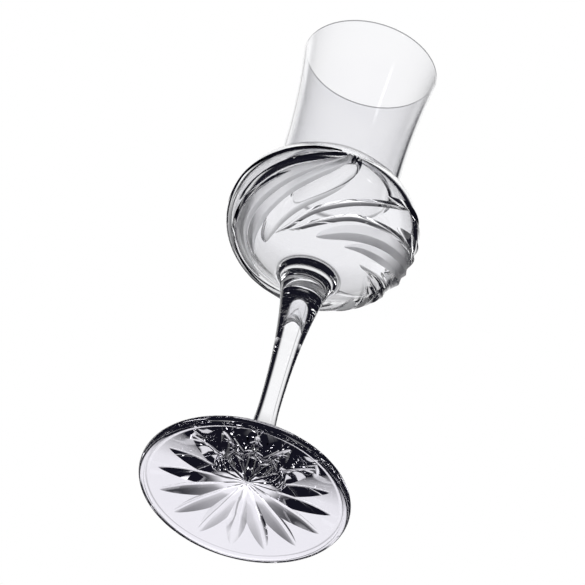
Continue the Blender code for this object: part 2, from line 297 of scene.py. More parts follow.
class GlassFinish(bpy.types.PropertyGroup):
    """Colours and polish of the crystal"""

    tint: colour("Tint", "Colour of the clear crystal", (0.985, 0.985, 1.0))
    bloom: colour("Bloom", "Colour of the crystal where it is less clear", (0.965, 0.965, 0.985))
    foot_tint: colour("Foot Tint", "Colour of the thick crystal of the foot", (0.90, 0.885, 0.95))
    foot_bloom: colour("Foot Bloom", "Colour of the foot where it is less clear", (0.88, 0.865, 0.935))
    refraction: FloatProperty(name="Index of Refraction", description="Bending of light by lead crystal",
                              default=1.54, min=1.0)
    polish: share("Polish", "Roughness of the polished crystal at its dullest", 0.012)
    satin: share("Satin", "Roughness of the satin cuts", 0.42)
    satin_tint: colour("Satin Tint", "Colour of the satin cuts", (0.90, 0.90, 0.93))


class GlassStudio(bpy.types.PropertyGroup):
    """Light, floor and camera"""

    backdrop: brightness("Backdrop", "Brightness of the lit backdrop", 1.06)
    fill: brightness("Fill", "Brightness of the soft light on the floor", 1.1)
    left_reach: angle("Left Reach", "How far the lit backdrop reaches to the left", 53)
    right_reach: angle("Right Reach", "How far the lit backdrop reaches to the right", 34)
    right_fade: angle("Right Fade", "Half of the width of its fade to the right", 8)
    left_fade: angle("Left Fade", "Half of the width of its fade to the left", 10)
    overhead: brightness("Overhead", "Added brightness high up on the backdrop", 0.5)
    low_reach: angle("Low Reach", "Elevation at which the backdrop starts to brighten", -2)
    full_reach: angle("Full Reach", "Elevation at which it has its plain brightness", 34.5)
    rise_bend: FloatProperty(name="Rise Bend", description="Bend of that rise, 1 for an even one",
                             default=1.75, min=0.1)
    overhead_reach: angle("Overhead Reach", "Elevation at which the backdrop starts to grow brighter", 47)
    top_reach: angle("Top Reach", "Elevation at which the backdrop is brightest", 75)
    lean: FloatProperty(name="Lean", description="Slant of the lit backdrop's right side", default=0.3)
    mirror_drop: angle("Mirror Drop", "How much higher light mirrored more than once sees the backdrop", 36)
    flag: share("Flag", "How much a dark flag on the left takes from the backdrop", 0.5)
    flag_azimuth: angle("Flag Azimuth", "Direction of the flag", -29)
    flag_width: angle("Flag Width", "Half of the flag's width", 2.5)
    flag_low: angle("Flag Low", "Elevation of the flag's lower end", 31)
    strip: brightness("Strip", "Brightness of the strip light", 5.0)
    strip_azimuth: angle("Strip Azimuth", "Direction of the strip light", 143)
    strip_width: angle("Strip Width", "Half of the strip light's width", 3)
    strip_low: angle("Strip Low", "Elevation of the strip light's lower end", 30)
    strip_high: angle("Strip High", "Elevation of the strip light's upper end", 32)
    glint: brightness("Glint", "Brightness of the small lamps round the room", 5.0)
    glint_azimuth: angle("Glint Azimuth", "Direction of a small lamp", 34)
    glint_spacing: angle("Glint Spacing", "Angle between the small lamps", 90)
    glint_width: angle("Glint Width", "Half of a small lamp's width", 8)
    glint_low: angle("Glint Low", "Elevation of the small lamps' lower ends", 6)
    glint_high: angle("Glint High", "Elevation of the small lamps' upper ends", 22)
    softness: angle("Softness", "Angle over which the ends of lamps fade", 5)
    horizon_reach: angle("Horizon Reach", "Elevation up to which the room has its low light", 8)
    glow: brightness("Glow", "Brightness of the two low bands", 0.9)
    glow_low: angle("Glow Low", "Elevation of the lower band", -24)
    glow_high: angle("Glow High", "Elevation of the upper band", -10)
    glow_width: angle("Glow Width", "Half of the width of those bands", 1.5)
    shade: colour("Shade", "Colour of the unlit part of the studio", (0.008, 0.008, 0.014))
    floor: colour("Floor", "Colour of the floor", (0.86, 0.86, 0.86))
    floor_radius: length("Floor Radius", "Radius of the floor", 3.0)
    view_drop: angle("View Drop", "How far below the horizon the camera stands", 39.2)
    view_roll: angle("View Roll", "How far the camera leans to its left", 16.57)
    view_width: length("View Width", "Width of the picture at the glass", 0.1774)
    view_distance: length("View Distance", "Distance of the camera from the glass", 4.0)


# Outlines, as rows of (radius, height) from the axis round to the axis again


def bezier(start, pull, push, end, steps):
    """Points on a cubic curve, both ends among them."""
    t = np.linspace(0.0, 1.0, steps + 1)[:, None]
    start, pull, push, end = (np.array(p, dtype=float) for p in (start, pull, push, end))
    return (1 - t) ** 3 * start + 3 * t * (1 - t) ** 2 * pull + 3 * t**2 * (1 - t) * push + t**3 * end


def arc(centre, radii, first, last, steps):
    """Points on an ellipse's arc, both ends among them."""
    t = np.linspace(first, last, steps + 1)
    return np.stack([centre[0] + radii[0] * np.cos(t), centre[1] + radii[1] * np.sin(t)], axis=-1)


def ring_outer(s):
    return s.foot_radius - s.edge_round


def ring_inner(s):
    return ring_outer(s) - s.ring_width


def cone_height(s, radius):
    return s.edge_thickness + (ring_outer(s) - radius) * math.tan(s.cone_slope)


def dish_radius(s):
    return ring_inner(s) - s.cove_width


def dish_height(s, radius):
    """Height of the foot's underside inside the standing ring: a cove, then a shallow dish."""
    into_cove = np.maximum(radius - dish_radius(s), 0.0) / s.cove_width
    into_dish = np.maximum(1 - (radius / dish_radius(s)) ** 2, 0.0)
    return s.cove_rise * (1 - into_cove**2) + s.dish_depth * into_dish


def belly_surface(s, radius, side):
    """Height of the belly's spheroid at a radius, on its upper side (1) or its lower side (-1)."""
    return s.belly_height + side * s.belly_half_height * math.sqrt(1 - (radius / s.belly_radius) ** 2)


def waist_contour(s):
    """The sweep from the foot's top in to the waist and out again to the belly."""
    root = (s.root_radius, cone_height(s, s.root_radius))
    waist = (s.waist_radius, s.waist_height)
    base = (s.base_radius, belly_surface(s, s.base_radius, -1))
    flare = (s.flare_radius, base[1] - s.flare_length)
    run = ROOT_PULL * (root[0] - waist[0])
    rise = WAIST_PULL_DOWN * (waist[1] - root[1])
    foot_sweep = bezier(
        root,
        (root[0] - run, root[1] + run * math.tan(s.cone_slope)),
        (waist[0], waist[1] - rise),
        waist,
        CURVE_STEPS,
    )
    taper = flare[1] - waist[1]
    drop = FLARE_PULL_DOWN * taper
    taper_sweep = bezier(
        waist,
        (waist[0], waist[1] + WAIST_PULL_UP * taper),
        (flare[0] - FLARE_SPREAD * drop, flare[1] - drop),
        flare,
        CURVE_STEPS,
    )
    lift = FLARE_PULL_UP * s.flare_length
    reach = BASE_PULL * (base[0] - flare[0])
    belly_slope = s.belly_half_height / s.belly_radius * s.base_radius
    belly_slope /= math.sqrt(s.belly_radius**2 - s.base_radius**2)
    flare_sweep = bezier(
        flare,
        (flare[0] + FLARE_SPREAD * lift, flare[1] + lift),
        (base[0] - reach, base[1] - reach * belly_slope),
        base,
        CURVE_STEPS,
    )
    return np.concatenate([foot_sweep, taper_sweep[1:], flare_sweep[1:]])


def foot_seam(s):
    return cone_height(s, s.root_radius) + s.foot_seam_rise


def bowl_seam(s):
    return belly_surface(s, s.base_radius, -1) - s.bowl_seam_drop


def between(contour, low, high):
    """The stretch of a rising contour from one height to another."""
    inside = (contour[:, 1] > low) & (contour[:, 1] < high)
    ends = [[np.interp(z, contour[:, 1], contour[:, 0]), z] for z in (low, high)]
    return np.concatenate([ends[:1], contour[inside], ends[1:]])


def foot_outline(s):
    """Dish, standing ring, rounded edge, top and the sweep up to the seam."""
    contour = waist_contour(s)
    across_dish = np.linspace(0.0, dish_radius(s), DISH_STEPS + 1)
    across_cove = np.linspace(dish_radius(s), ring_inner(s), COVE_STEPS + 1)[1:]
    radii = np.concatenate([across_dish, across_cove])
    dish = np.stack([radii, dish_height(s, radii)], axis=-1)
    half = s.edge_thickness / 2
    edge = arc((ring_outer(s), half), (s.edge_round, half), -math.pi / 2, math.pi / 2, EDGE_STEPS)
    radii = np.linspace(ring_outer(s), s.root_radius, CONE_STEPS + 1)[1:-1]
    cone = np.stack([radii, cone_height(s, radii)], axis=-1)
    seam = foot_seam(s)
    return np.concatenate([dish, edge, cone, between(contour, contour[0, 1], seam), [[0.0, seam]]])


def stem_outline(s):
    low, high = foot_seam(s), bowl_seam(s)
    return np.concatenate([[[0.0, low]], between(waist_contour(s), low, high), [[0.0, high]]])


def mouth_radius_at(s, height):
    grown = np.maximum(0.0, 1 - (s.height - height) / s.mouth_flare_length)
    return s.neck_radius + (s.mouth_radius - s.neck_radius) * grown**2


def mouth_wall_at(s, height):
    neck = belly_surface(s, s.neck_radius, 1)
    return s.neck_wall + (s.rim_wall - s.neck_wall) * (height - neck) / (s.height - neck)


def bowl_outline(s):
    """Up the outside from the seam, over the rim and down the inside."""
    contour = waist_contour(s)
    seam = bowl_seam(s)
    base = between(contour, seam, contour[-1, 1])
    low = -math.acos(s.base_radius / s.belly_radius)
    high = math.acos((s.neck_radius + s.neck_fillet) / s.belly_radius)
    belly = arc((0.0, s.belly_height), (s.belly_radius, s.belly_half_height), low, high, BELLY_STEPS)[1:]
    corner = (s.neck_radius, belly_surface(s, s.neck_radius, 1))
    turn_up = (corner[0], corner[1] + s.neck_fillet)
    neck = bezier(belly[-1], corner, corner, turn_up, FILLET_STEPS)[1:]
    lip = s.rim_wall / 2
    heights = np.linspace(turn_up[1], s.height - lip, MOUTH_STEPS + 1)[1:]
    mouth = np.stack([mouth_radius_at(s, heights), heights], axis=-1)
    rim = arc((mouth[-1, 0] - lip, s.height - lip), (lip, lip), 0.0, math.pi, RIM_STEPS)[1:]

    inner_neck = s.neck_radius - s.neck_wall
    hollow_radius = s.belly_radius - s.belly_wall
    hollow_floor = s.belly_height - s.belly_half_height + s.base_wall
    hollow_top = belly_surface(s, s.neck_radius, 1) - s.neck_wall
    half = (hollow_top - hollow_floor) / (1 + math.sqrt(1 - (inner_neck / hollow_radius) ** 2))
    start = math.acos((inner_neck + s.neck_fillet) / hollow_radius)
    hollow = arc((0.0, hollow_floor + half), (hollow_radius, half), start, -math.pi / 2, BELLY_STEPS)
    bend = hollow_top + s.neck_fillet
    inner_corner = (inner_neck, hollow_top)
    throat = bezier((inner_neck, bend), inner_corner, inner_corner, hollow[0], FILLET_STEPS)
    heights = np.linspace(s.height - lip, bend, MOUTH_STEPS + 1)[1:-1]
    inner_mouth = np.stack([mouth_radius_at(s, heights) - mouth_wall_at(s, heights), heights], axis=-1)
    outside = [[[0.0, seam]], base, belly, neck, mouth, rim]
    inside = [inner_mouth, throat, hollow[1:-1], [[0.0, hollow_floor]]]
    return np.concatenate(outside + inside)


# Meshes


def add_object(name, mesh):
    thing = bpy.data.objects.new(name, mesh)
    bpy.context.scene.collection.objects.link(thing)
    return thing


def turn_on_axis(name, outline, sides):
    """A closed solid of revolution. Its faces carry the mark turned, which the cuts' faces lack."""
    shell = bmesh.new()
    mark = shell.faces.layers.bool.new("turned")
    rings = []
    for radius, height in outline:
        if radius < ON_AXIS:
            rings.append([shell.verts.new((0.0, 0.0, height))] * sides)
            continue
        spots = [FULL_TURN * k / sides for k in range(sides)]
        rings.append([shell.verts.new((radius * math.cos(a), radius * math.sin(a), height)) for a in spots])
    for lower, upper in zip(rings, rings[1:]):
        for k in range(sides):
            n = (k + 1) % sides
            corners = dict.fromkeys((lower[k], lower[n], upper[n], upper[k]))
            face = shell.faces.new(corners)
            face.smooth = True
            face[mark] = True
    mesh = bpy.data.meshes.new(name)
    shell.to_mesh(mesh)
    shell.free()
    return add_object(name, mesh)


def wheel_tool(name, stations, widths, full_depth, crease_round):
    """The glass that a wheel takes out: a V with a rounded crease, swept along a cut's stations."""
    tool = bmesh.new()
    sections = []
    for i, here in enumerate(stations):
        ahead = stations[min(i + 1, len(stations) - 1)].point
        behind = stations[max(i - 1, 0)].point
        across = (ahead - behind).cross(here.outward).normalized()
        rise = here.depth + full_depth
        reach = math.acosh((rise + crease_round) / crease_round)
        spots = [(0.0, -here.depth)]
        for way, width in ((-1, widths[0]), (1, widths[1])):
            steepness = full_depth / width
            half = []
            for k in range(1, SECTION_STEPS + 1):
                u = reach * k / SECTION_STEPS
                aside = way * crease_round / steepness * math.sinh(u)
                half.append((aside, crease_round * (math.cosh(u) - 1) - here.depth))
            spots = half[::-1] + spots if way < 0 else spots + half
        sections.append([tool.verts.new(here.point + across * x + here.outward * z) for x, z in spots])
    around = len(sections[0])
    for near, far in zip(sections, sections[1:]):
        for i in range(around):
            n = (i + 1) % around
            tool.faces.new((near[i], near[n], far[n], far[i]))
    tool.faces.new(sections[0][::-1])
    tool.faces.new(sections[-1])
    bmesh.ops.triangulate(tool, faces=tool.faces)
    bmesh.ops.recalc_face_normals(tool, faces=tool.faces)
    for face in tool.faces:
        face.smooth = True
    mesh = bpy.data.meshes.new(name)
    tool.to_mesh(mesh)
    tool.free()
    thing = add_object(name, mesh)
    thing.hide_render = True
    return thing


def star_tool(s, c):
    """The star's first cut, out along +X: dipping to the middle, and run out as a leaf to its tip."""
    tip = dish_radius(s) - c.star_margin
    shoulder = tip - c.star_run
    stations = []
    for radius in np.linspace(-c.star_crossing, tip + OVERRUN * c.star_run, STAR_STATIONS + 1):
        run_out = max(radius - shoulder, 0.0) / c.star_run
        dip = c.star_dip * max(1 - radius / shoulder, 0.0)
        depth = float(c.star_depth * (1 + dip - run_out**2))
        radius = float(radius)
        stations.append(Station(Vector((radius, 0.0, dish_height(s, radius))), Vector((0, 0, -1)), depth))
    return wheel_tool("star_tool", stations, (c.star_half_width,) * 2, c.star_depth, c.star_round)


def smooth_path(points, run):
    """The place at a share of the way along a smooth path. Before 0 it goes on past the first point."""
    place = run * (len(points) - 1)
    i = min(max(math.floor(place), 0), len(points) - 2)
    t = place - i
    before, after = points[max(i - 1, 0)], points[min(i + 2, len(points) - 1)]
    spot = []
    for p0, p1, p2, p3 in zip(before, points[i], points[i + 1], after):
        leave, arrive = (p2 - p0) / 2, (p3 - p1) / 2
        cubic = 2 * (p1 - p2) + leave + arrive
        bend = cubic * t + 3 * (p2 - p1) - 2 * leave - arrive
        spot.append((bend * t + leave) * t + p1)
    return spot


def fan_depth(run):
    """Share of its full depth that a belly cut has at a share of its way from tip to knot."""
    tip = 1 - (1 - min(run / TIP_TAPER, 1.0)) ** 2
    knot = 1 - (1 - min((1 - run) / KNOT_TAPER, 1.0)) ** 2
    return tip * (KNOT_DEPTH_SHARE + (1 - KNOT_DEPTH_SHARE) * knot)


def fan_tool(s, cut):
    """One cut of the first fan, with its knot towards +X."""
    stations = []
    for i in range(FAN_STATIONS + 1):
        run = (1 + OVERRUN) * i / FAN_STATIONS - OVERRUN
        swept, latitude = (math.radians(v) for v in smooth_path(cut.path, run))
        out = Vector((math.cos(swept), -math.sin(swept), 0.0))
        up = Vector((0, 0, 1))
        point = out * (s.belly_radius * math.cos(latitude))
        point += up * (s.belly_height + s.belly_half_height * math.sin(latitude))
        outward = out * (math.cos(latitude) / s.belly_radius)
        outward += up * (math.sin(latitude) / s.belly_half_height)
        stations.append(Station(point, outward.normalized(), cut.depth * fan_depth(run)))
    widths = (cut.left_width, cut.right_width)
    return wheel_tool(cut.name + "_tool", stations, widths, cut.depth, cut.crease_round)


# The tree that cuts


def add_node(tree, kind, settings, values):
    """A new node: its settings are made, then its sockets filled or linked, by name or as i0, i1."""
    made = tree.nodes.new(kind)
    for key, value in (settings or {}).items():
        setattr(made, key, value)
    for key, value in values.items():
        socket = made.inputs[int(key[1:]) if key[1:].isdigit() else key.replace("_", " ")]
        if isinstance(value, bpy.types.NodeSocket):
            tree.links.new(value, socket)
        else:
            socket.default_value = value
    return made


def wheel_cut_tree():
    """Takes a tool's shape out of a piece, repeated around the axis, and gives the cuts their finish."""
    name = "Wheel Cut"
    if name in bpy.data.node_groups:
        return bpy.data.node_groups[name]
    tree = bpy.data.node_groups.new(name, "GeometryNodeTree")
    tree.is_modifier = True
    takes = {
        "Geometry": "Geometry",
        "Tool": "Object",
        "Copies": "Int",
        "First Turn": "Float",
        "Spacing": "Float",
        "Finish": "Material",
    }
    for label, kind in takes.items():
        tree.interface.new_socket(label, in_out="INPUT", socket_type="NodeSocket" + kind)
    tree.interface.new_socket("Geometry", in_out="OUTPUT", socket_type="NodeSocketGeometry")

    def node(kind, settings=None, **values):
        return add_node(tree, kind, settings, values)

    given = node("NodeGroupInput").outputs
    clean = node("GeometryNodeRemoveAttribute", Geometry=given["Geometry"], Name="fresh")
    tool = node("GeometryNodeObjectInfo", {"transform_space": "ORIGINAL"}, Object=given["Tool"])
    marked = node(
        "GeometryNodeStoreNamedAttribute",
        {"data_type": "BOOLEAN", "domain": "FACE"},
        Geometry=tool.outputs["Geometry"],
        Name="fresh",
        Value=True,
    )

    first = node("GeometryNodeRepeatInput", Iterations=given["Copies"])
    last = node("GeometryNodeRepeatOutput")
    first.pair_with_output(last)
    tree.links.new(clean.outputs["Geometry"], first.inputs["Geometry"])
    turn = node(
        "ShaderNodeMath",
        {"operation": "MULTIPLY_ADD"},
        i0=first.outputs["Iteration"],
        i1=given["Spacing"],
        i2=given["First Turn"],
    )
    spin = node("ShaderNodeCombineXYZ", Z=turn.outputs[0])
    shape = marked.outputs["Geometry"]
    placed = node("GeometryNodeTransform", Geometry=shape, Rotation=spin.outputs["Vector"])
    cut = node(
        "GeometryNodeMeshBoolean",
        {"operation": "DIFFERENCE", "solver": "MANIFOLD"},
        Mesh_1=first.outputs["Geometry"],
        Mesh_2=placed.outputs["Geometry"],
    )
    tree.links.new(cut.outputs["Mesh"], last.inputs["Geometry"])

    real = node("GeometryNodeRealizeInstances", Geometry=last.outputs["Geometry"])
    fresh = node("GeometryNodeInputNamedAttribute", {"data_type": "BOOLEAN"}, Name="fresh")
    finished = node(
        "GeometryNodeSetMaterial",
        Geometry=real.outputs["Geometry"],
        Selection=fresh.outputs["Attribute"],
        Material=given["Finish"],
    )
    node("NodeGroupOutput", Geometry=finished.outputs["Geometry"])
    return tree


def add_cut(piece, tool, copies, first_turn, spacing, finish):
    """One pass of the wheel, repeated around the axis, as a modifier on a piece."""
    tree = wheel_cut_tree()
    modifier = piece.modifiers.new(tool.name, "NODES")
    modifier.node_group = tree
    keys = {item.name: item.identifier for item in tree.interface.items_tree if item.in_out == "INPUT"}
    modifier[keys["Tool"]] = tool
    modifier[keys["Copies"]] = copies
    modifier[keys["First Turn"]] = first_turn
    modifier[keys["Spacing"]] = spacing
    modifier[keys["Finish"]] = finish


def apply_cuts(piece, tools):
    """Turns the piece with its cuts into a plain mesh, and puts the tools away."""
    seen = piece.evaluated_get(bpy.context.evaluated_depsgraph_get())
    rough = piece.data
    piece.data = bpy.data.meshes.new_from_object(seen)
    piece.modifiers.clear()
    piece.data.name = rough.name
    bpy.data.meshes.remove(rough)
    for tool in tools:
        shape = tool.data
        bpy.data.objects.remove(tool)
        bpy.data.meshes.remove(shape)


def outline_normals(outline):
    """For each stretch of an outline, the way out of the glass at its start and at its end."""
    run = np.diff(outline, axis=0)
    run /= np.linalg.norm(run, axis=1)[:, None]
    out = np.stack([run[:, 1], -run[:, 0]], axis=-1)
    start, end = out.copy(), out.copy()
    meeting = np.sum(run[:-1] * run[1:], axis=1) > math.cos(CRISP_TURNING)
    shared = out[:-1] + out[1:]
    shared /= np.linalg.norm(shared, axis=1)[:, None]
    end[:-1][meeting] = shared[meeting]
    start[1:][meeting] = shared[meeting]
    start[0] = (0.0, np.sign(out[0, 1]))
    end[-1] = (0.0, np.sign(out[-1, 1]))
    return start, end


def read_all(items, name, kind=float, width=1):
    """A value of many mesh items as an array, in rows if it is a vector."""
    values = np.empty(len(items) * width, dtype=kind)
    items.foreach_get(name, values)
    return values.reshape(-1, width) if width > 1 else values


def polish_turned_faces(mesh, outline):
    """Gives the uncut faces the true normals of the turned shape, and leaves the cuts with crisp edges."""
    mesh.shade_smooth()
    mesh.set_sharp_from_angle(angle=CRISP_CUT)
    normals = read_all(mesh.corner_normals, "vector", width=3)
    owner = read_all(mesh.loops, "vertex_index", int)
    points = read_all(mesh.vertices, "co", width=3)
    sizes = read_all(mesh.polygons, "loop_total", int)
    centres = read_all(mesh.polygons, "center", width=3)
    turned = read_all(mesh.attributes["turned"].data, "value", bool)

    start, end = outline_normals(outline)
    run = np.diff(outline, axis=0)
    long = np.sum(run**2, axis=1)
    flat = np.stack([np.hypot(centres[:, 0], centres[:, 1]), centres[:, 2]], axis=-1)
    stretch = np.zeros(len(sizes), dtype=int)
    for group in np.array_split(np.flatnonzero(turned), FACE_GROUPS):
        offset = flat[group, None, :] - outline[None, :-1, :]
        along = np.clip(np.sum(offset * run, axis=-1) / long, 0, 1)
        stretch[group] = np.argmin(np.sum((offset - along[..., None] * run) ** 2, axis=-1), axis=1)

    kept = np.repeat(turned, sizes)
    piece = np.repeat(stretch, sizes)[kept]
    at = points[owner[kept]]
    radius = np.hypot(at[:, 0], at[:, 1])
    offset = np.stack([radius, at[:, 2]], axis=-1) - outline[piece]
    along = np.clip(np.sum(offset * run[piece], axis=-1) / long[piece], 0, 1)[:, None]
    way = start[piece] * (1 - along) + end[piece] * along
    safe = np.maximum(radius, ON_AXIS)
    out = np.stack([way[:, 0] * at[:, 0] / safe, way[:, 0] * at[:, 1] / safe, way[:, 1]], axis=-1)
    normals[kept] = out / np.linalg.norm(out, axis=1)[:, None]
    mesh.normals_split_custom_set(normals.tolist())


def fuse_seams(mesh, heights, material):
    """Gives the flat faces at the seams the finish of glass that runs on into the next piece."""
    mesh.materials.append(material)
    slot = len(mesh.materials) - 1
    for face in mesh.polygons:
        level = [mesh.vertices[v].co.z for v in face.vertices]
        if any(max(abs(z - h) for z in level) < ON_SEAM for h in heights):
            face.material_index = slot


def place(piece, node, slot):
    """Hands a finished piece to the frame."""
    for name in ("turned", "fresh"):
        if name in piece.data.attributes:
            piece.data.attributes.remove(piece.data.attributes[name])
    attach(piece, "root")
    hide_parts(node)


# Materials


class Wire:
    """A shader socket that takes part in Python expressions."""

    def __init__(self, tree, socket):
        self.tree = tree
        self.socket = socket

    def node(self, kind, settings=None, output=0, **values):
        """A wire on another node of the same tree."""
        plain = {key: value.socket if isinstance(value, Wire) else value for key, value in values.items()}
        return Wire(self.tree, add_node(self.tree, kind, settings, plain).outputs[output])

    def math(self, operation, *values):
        filled = {f"i{n}": value for n, value in enumerate(values)}
        return self.node("ShaderNodeMath", {"operation": operation}, **filled)

    def step(self, low, high):
        """Rises smoothly from 0 at low to 1 at high."""
        smooth = {"interpolation_type": "SMOOTHSTEP"}
        return self.node("ShaderNodeMapRange", smooth, Value=self, From_Min=low, From_Max=high)

    def ramp(self, low, high):
        """Rises evenly from 0 at low to 1 at high."""
        return self.node("ShaderNodeMapRange", Value=self, From_Min=low, From_Max=high)

    def noise(self, kind):
        """A noise over these coordinates."""
        return self.node("ShaderNodeTexNoise", Vector=self, Scale=kind.scale, Detail=kind.detail)

    def mix(self, factor, first, second, clamp=True):
        """A colour from the first to the second. The node's sockets 6, 7 and 2 are those for colours."""
        settings = {"data_type": "RGBA", "clamp_factor": clamp}
        return self.node("ShaderNodeMix", settings, output=2, i0=factor, i6=first, i7=second)

    def __add__(self, other):
        return self.math("ADD", self, other)

    def __sub__(self, other):
        return self.math("SUBTRACT", self, other)

    def __rsub__(self, other):
        return self.math("SUBTRACT", other, self)

    def __mul__(self, other):
        return self.math("MULTIPLY", self, other)

    def __pow__(self, other):
        return self.math("POWER", self, other)

    __radd__ = __add__
    __rmul__ = __mul__


def start_material(name):
    """A new material with its output, and a wire on its Object coordinates."""
    material = bpy.data.materials.new(name)
    material.use_nodes = True
    tree = material.node_tree
    tree.nodes.clear()
    tree.nodes.new("ShaderNodeOutputMaterial")
    return material, Wire(tree, tree.nodes.new("ShaderNodeTexCoord").outputs["Object"])


def end_material(material, shader):
    end = material.node_tree.nodes["Material Output"]
    material.node_tree.links.new(shader.socket, end.inputs["Surface"])
    return material


def end_crystal(material, coords, finish, **looks):
    """Ends a material as glass that bends light as lead crystal does."""
    glass = {"IOR": finish.refraction, "Transmission_Weight": 1.0}
    return end_material(material, coords.node("ShaderNodeBsdfPrincipled", **glass, **looks))


def rgba(triple):
    return (*triple, 1.0)


def polished_crystal(name, finish, tint, bloom):
    """Clear polished lead crystal: a breath of colour, faint wiping marks and soft waves of hand work."""
    material, coords = start_material(name)
    colour_wire = coords.mix(coords.noise(TINT_CLOUD).step(*TINT_SPAN), rgba(tint), rgba(bloom))
    dull = coords.noise(WIPING).step(*WIPING_SPAN) * finish.polish
    bump = coords.node("ShaderNodeBump", Height=coords.noise(HAND_WAVES), **WAVE_BUMP)
    return end_crystal(material, coords, finish, Base_Color=colour_wire, Roughness=dull, Normal=bump)


def satin_crystal(name, finish):
    """A cut left as the fine wheel leaves it: an even satin with a soft grain."""
    material, coords = start_material(name)
    grain = coords.noise(SATIN_GRAIN)
    cloud = coords.noise(SATIN_CLOUD)
    rough = finish.satin + CLOUD_ROUGHNESS * (cloud - NOISE_MEAN) + GRAIN_ROUGHNESS * (grain - NOISE_MEAN)
    clearing = cloud.step(*SATIN_SPAN) * CLOUD_CLEARING
    colour_wire = coords.mix(clearing, rgba(finish.satin_tint), rgba(finish.tint))
    bump = coords.node("ShaderNodeBump", Height=grain, **SATIN_BUMP)
    return end_crystal(material, coords, finish, Base_Color=colour_wire, Roughness=rough, Normal=bump)


def fused_joint():
    """Where two gathers were joined hot there is no surface left, so light goes straight through."""
    name = "fused_joint"
    if name in bpy.data.materials:
        return bpy.data.materials[name]
    material, coords = start_material(name)
    return end_material(material, coords.node("ShaderNodeBsdfTransparent"))


# Pieces


class GLASS_OT_foot(bpy.types.Operator):
    """Build the foot, with the star cut into its underside"""

    bl_idname = "glass.foot"
    bl_label = "Foot"

    def execute(self, context):
        s, c = context.scene.glass_sizes, context.scene.glass_cuts
        finish = context.scene.glass_finish
        crystal = polished_crystal("foot_crystal", finish, finish.foot_tint, finish.foot_bloom)
        outline = foot_outline(s)
        foot = turn_on_axis("foot_piece", outline, SIDES)
        foot.data.materials.append(crystal)
        tool = star_tool(s, c)
        add_cut(foot, tool, c.star_points, c.star_turn, FULL_TURN / c.star_points, crystal)
        apply_cuts(foot, [tool])
        polish_turned_faces(foot.data, outline)
        fuse_seams(foot.data, (foot_seam(s),), fused_joint())
        place(foot, "foot", "foot_crystal")
        return {"FINISHED"}


class GLASS_OT_stem(bpy.types.Operator):
    """Build the stem"""

    bl_idname = "glass.stem"
    bl_label = "Stem"

    def execute(self, context):
        s = context.scene.glass_sizes
        outline = stem_outline(s)
        stem = turn_on_axis("stem_piece", outline, STEM_SIDES)
        finish = context.scene.glass_finish
        stem.data.materials.append(polished_crystal("stem_crystal", finish, finish.tint, finish.bloom))
        polish_turned_faces(stem.data, outline)
        fuse_seams(stem.data, (foot_seam(s), bowl_seam(s)), fused_joint())
        place(stem, "stem", "stem_crystal")
        return {"FINISHED"}


class GLASS_OT_bowl(bpy.types.Operator):
    """Build the bowl, with the swirling fans cut into its belly"""

    bl_idname = "glass.bowl"
    bl_label = "Bowl"

    def execute(self, context):
        s, c = context.scene.glass_sizes, context.scene.glass_cuts
        finish = context.scene.glass_finish
        finishes = {
            "polished": polished_crystal("bowl_crystal", finish, finish.tint, finish.bloom),
            "satin": satin_crystal("bowl_satin", finish),
        }
        outline = bowl_outline(s)
        bowl = turn_on_axis("bowl_piece", outline, SIDES)
        bowl.data.materials.append(finishes["polished"])
        tools = [fan_tool(s, cut) for cut in FAN_CUTS]
        for cut, tool in zip(FAN_CUTS, tools):
            copies = min(cut.fans, c.fans)
            add_cut(bowl, tool, copies, c.knot_azimuth, FULL_TURN / c.fans, finishes[cut.finish])
        apply_cuts(bowl, tools)
        polish_turned_faces(bowl.data, outline)
        fuse_seams(bowl.data, (bowl_seam(s),), fused_joint())
        place(bowl, "bowl", "bowl_crystal")
        return {"FINISHED"}


# Stage


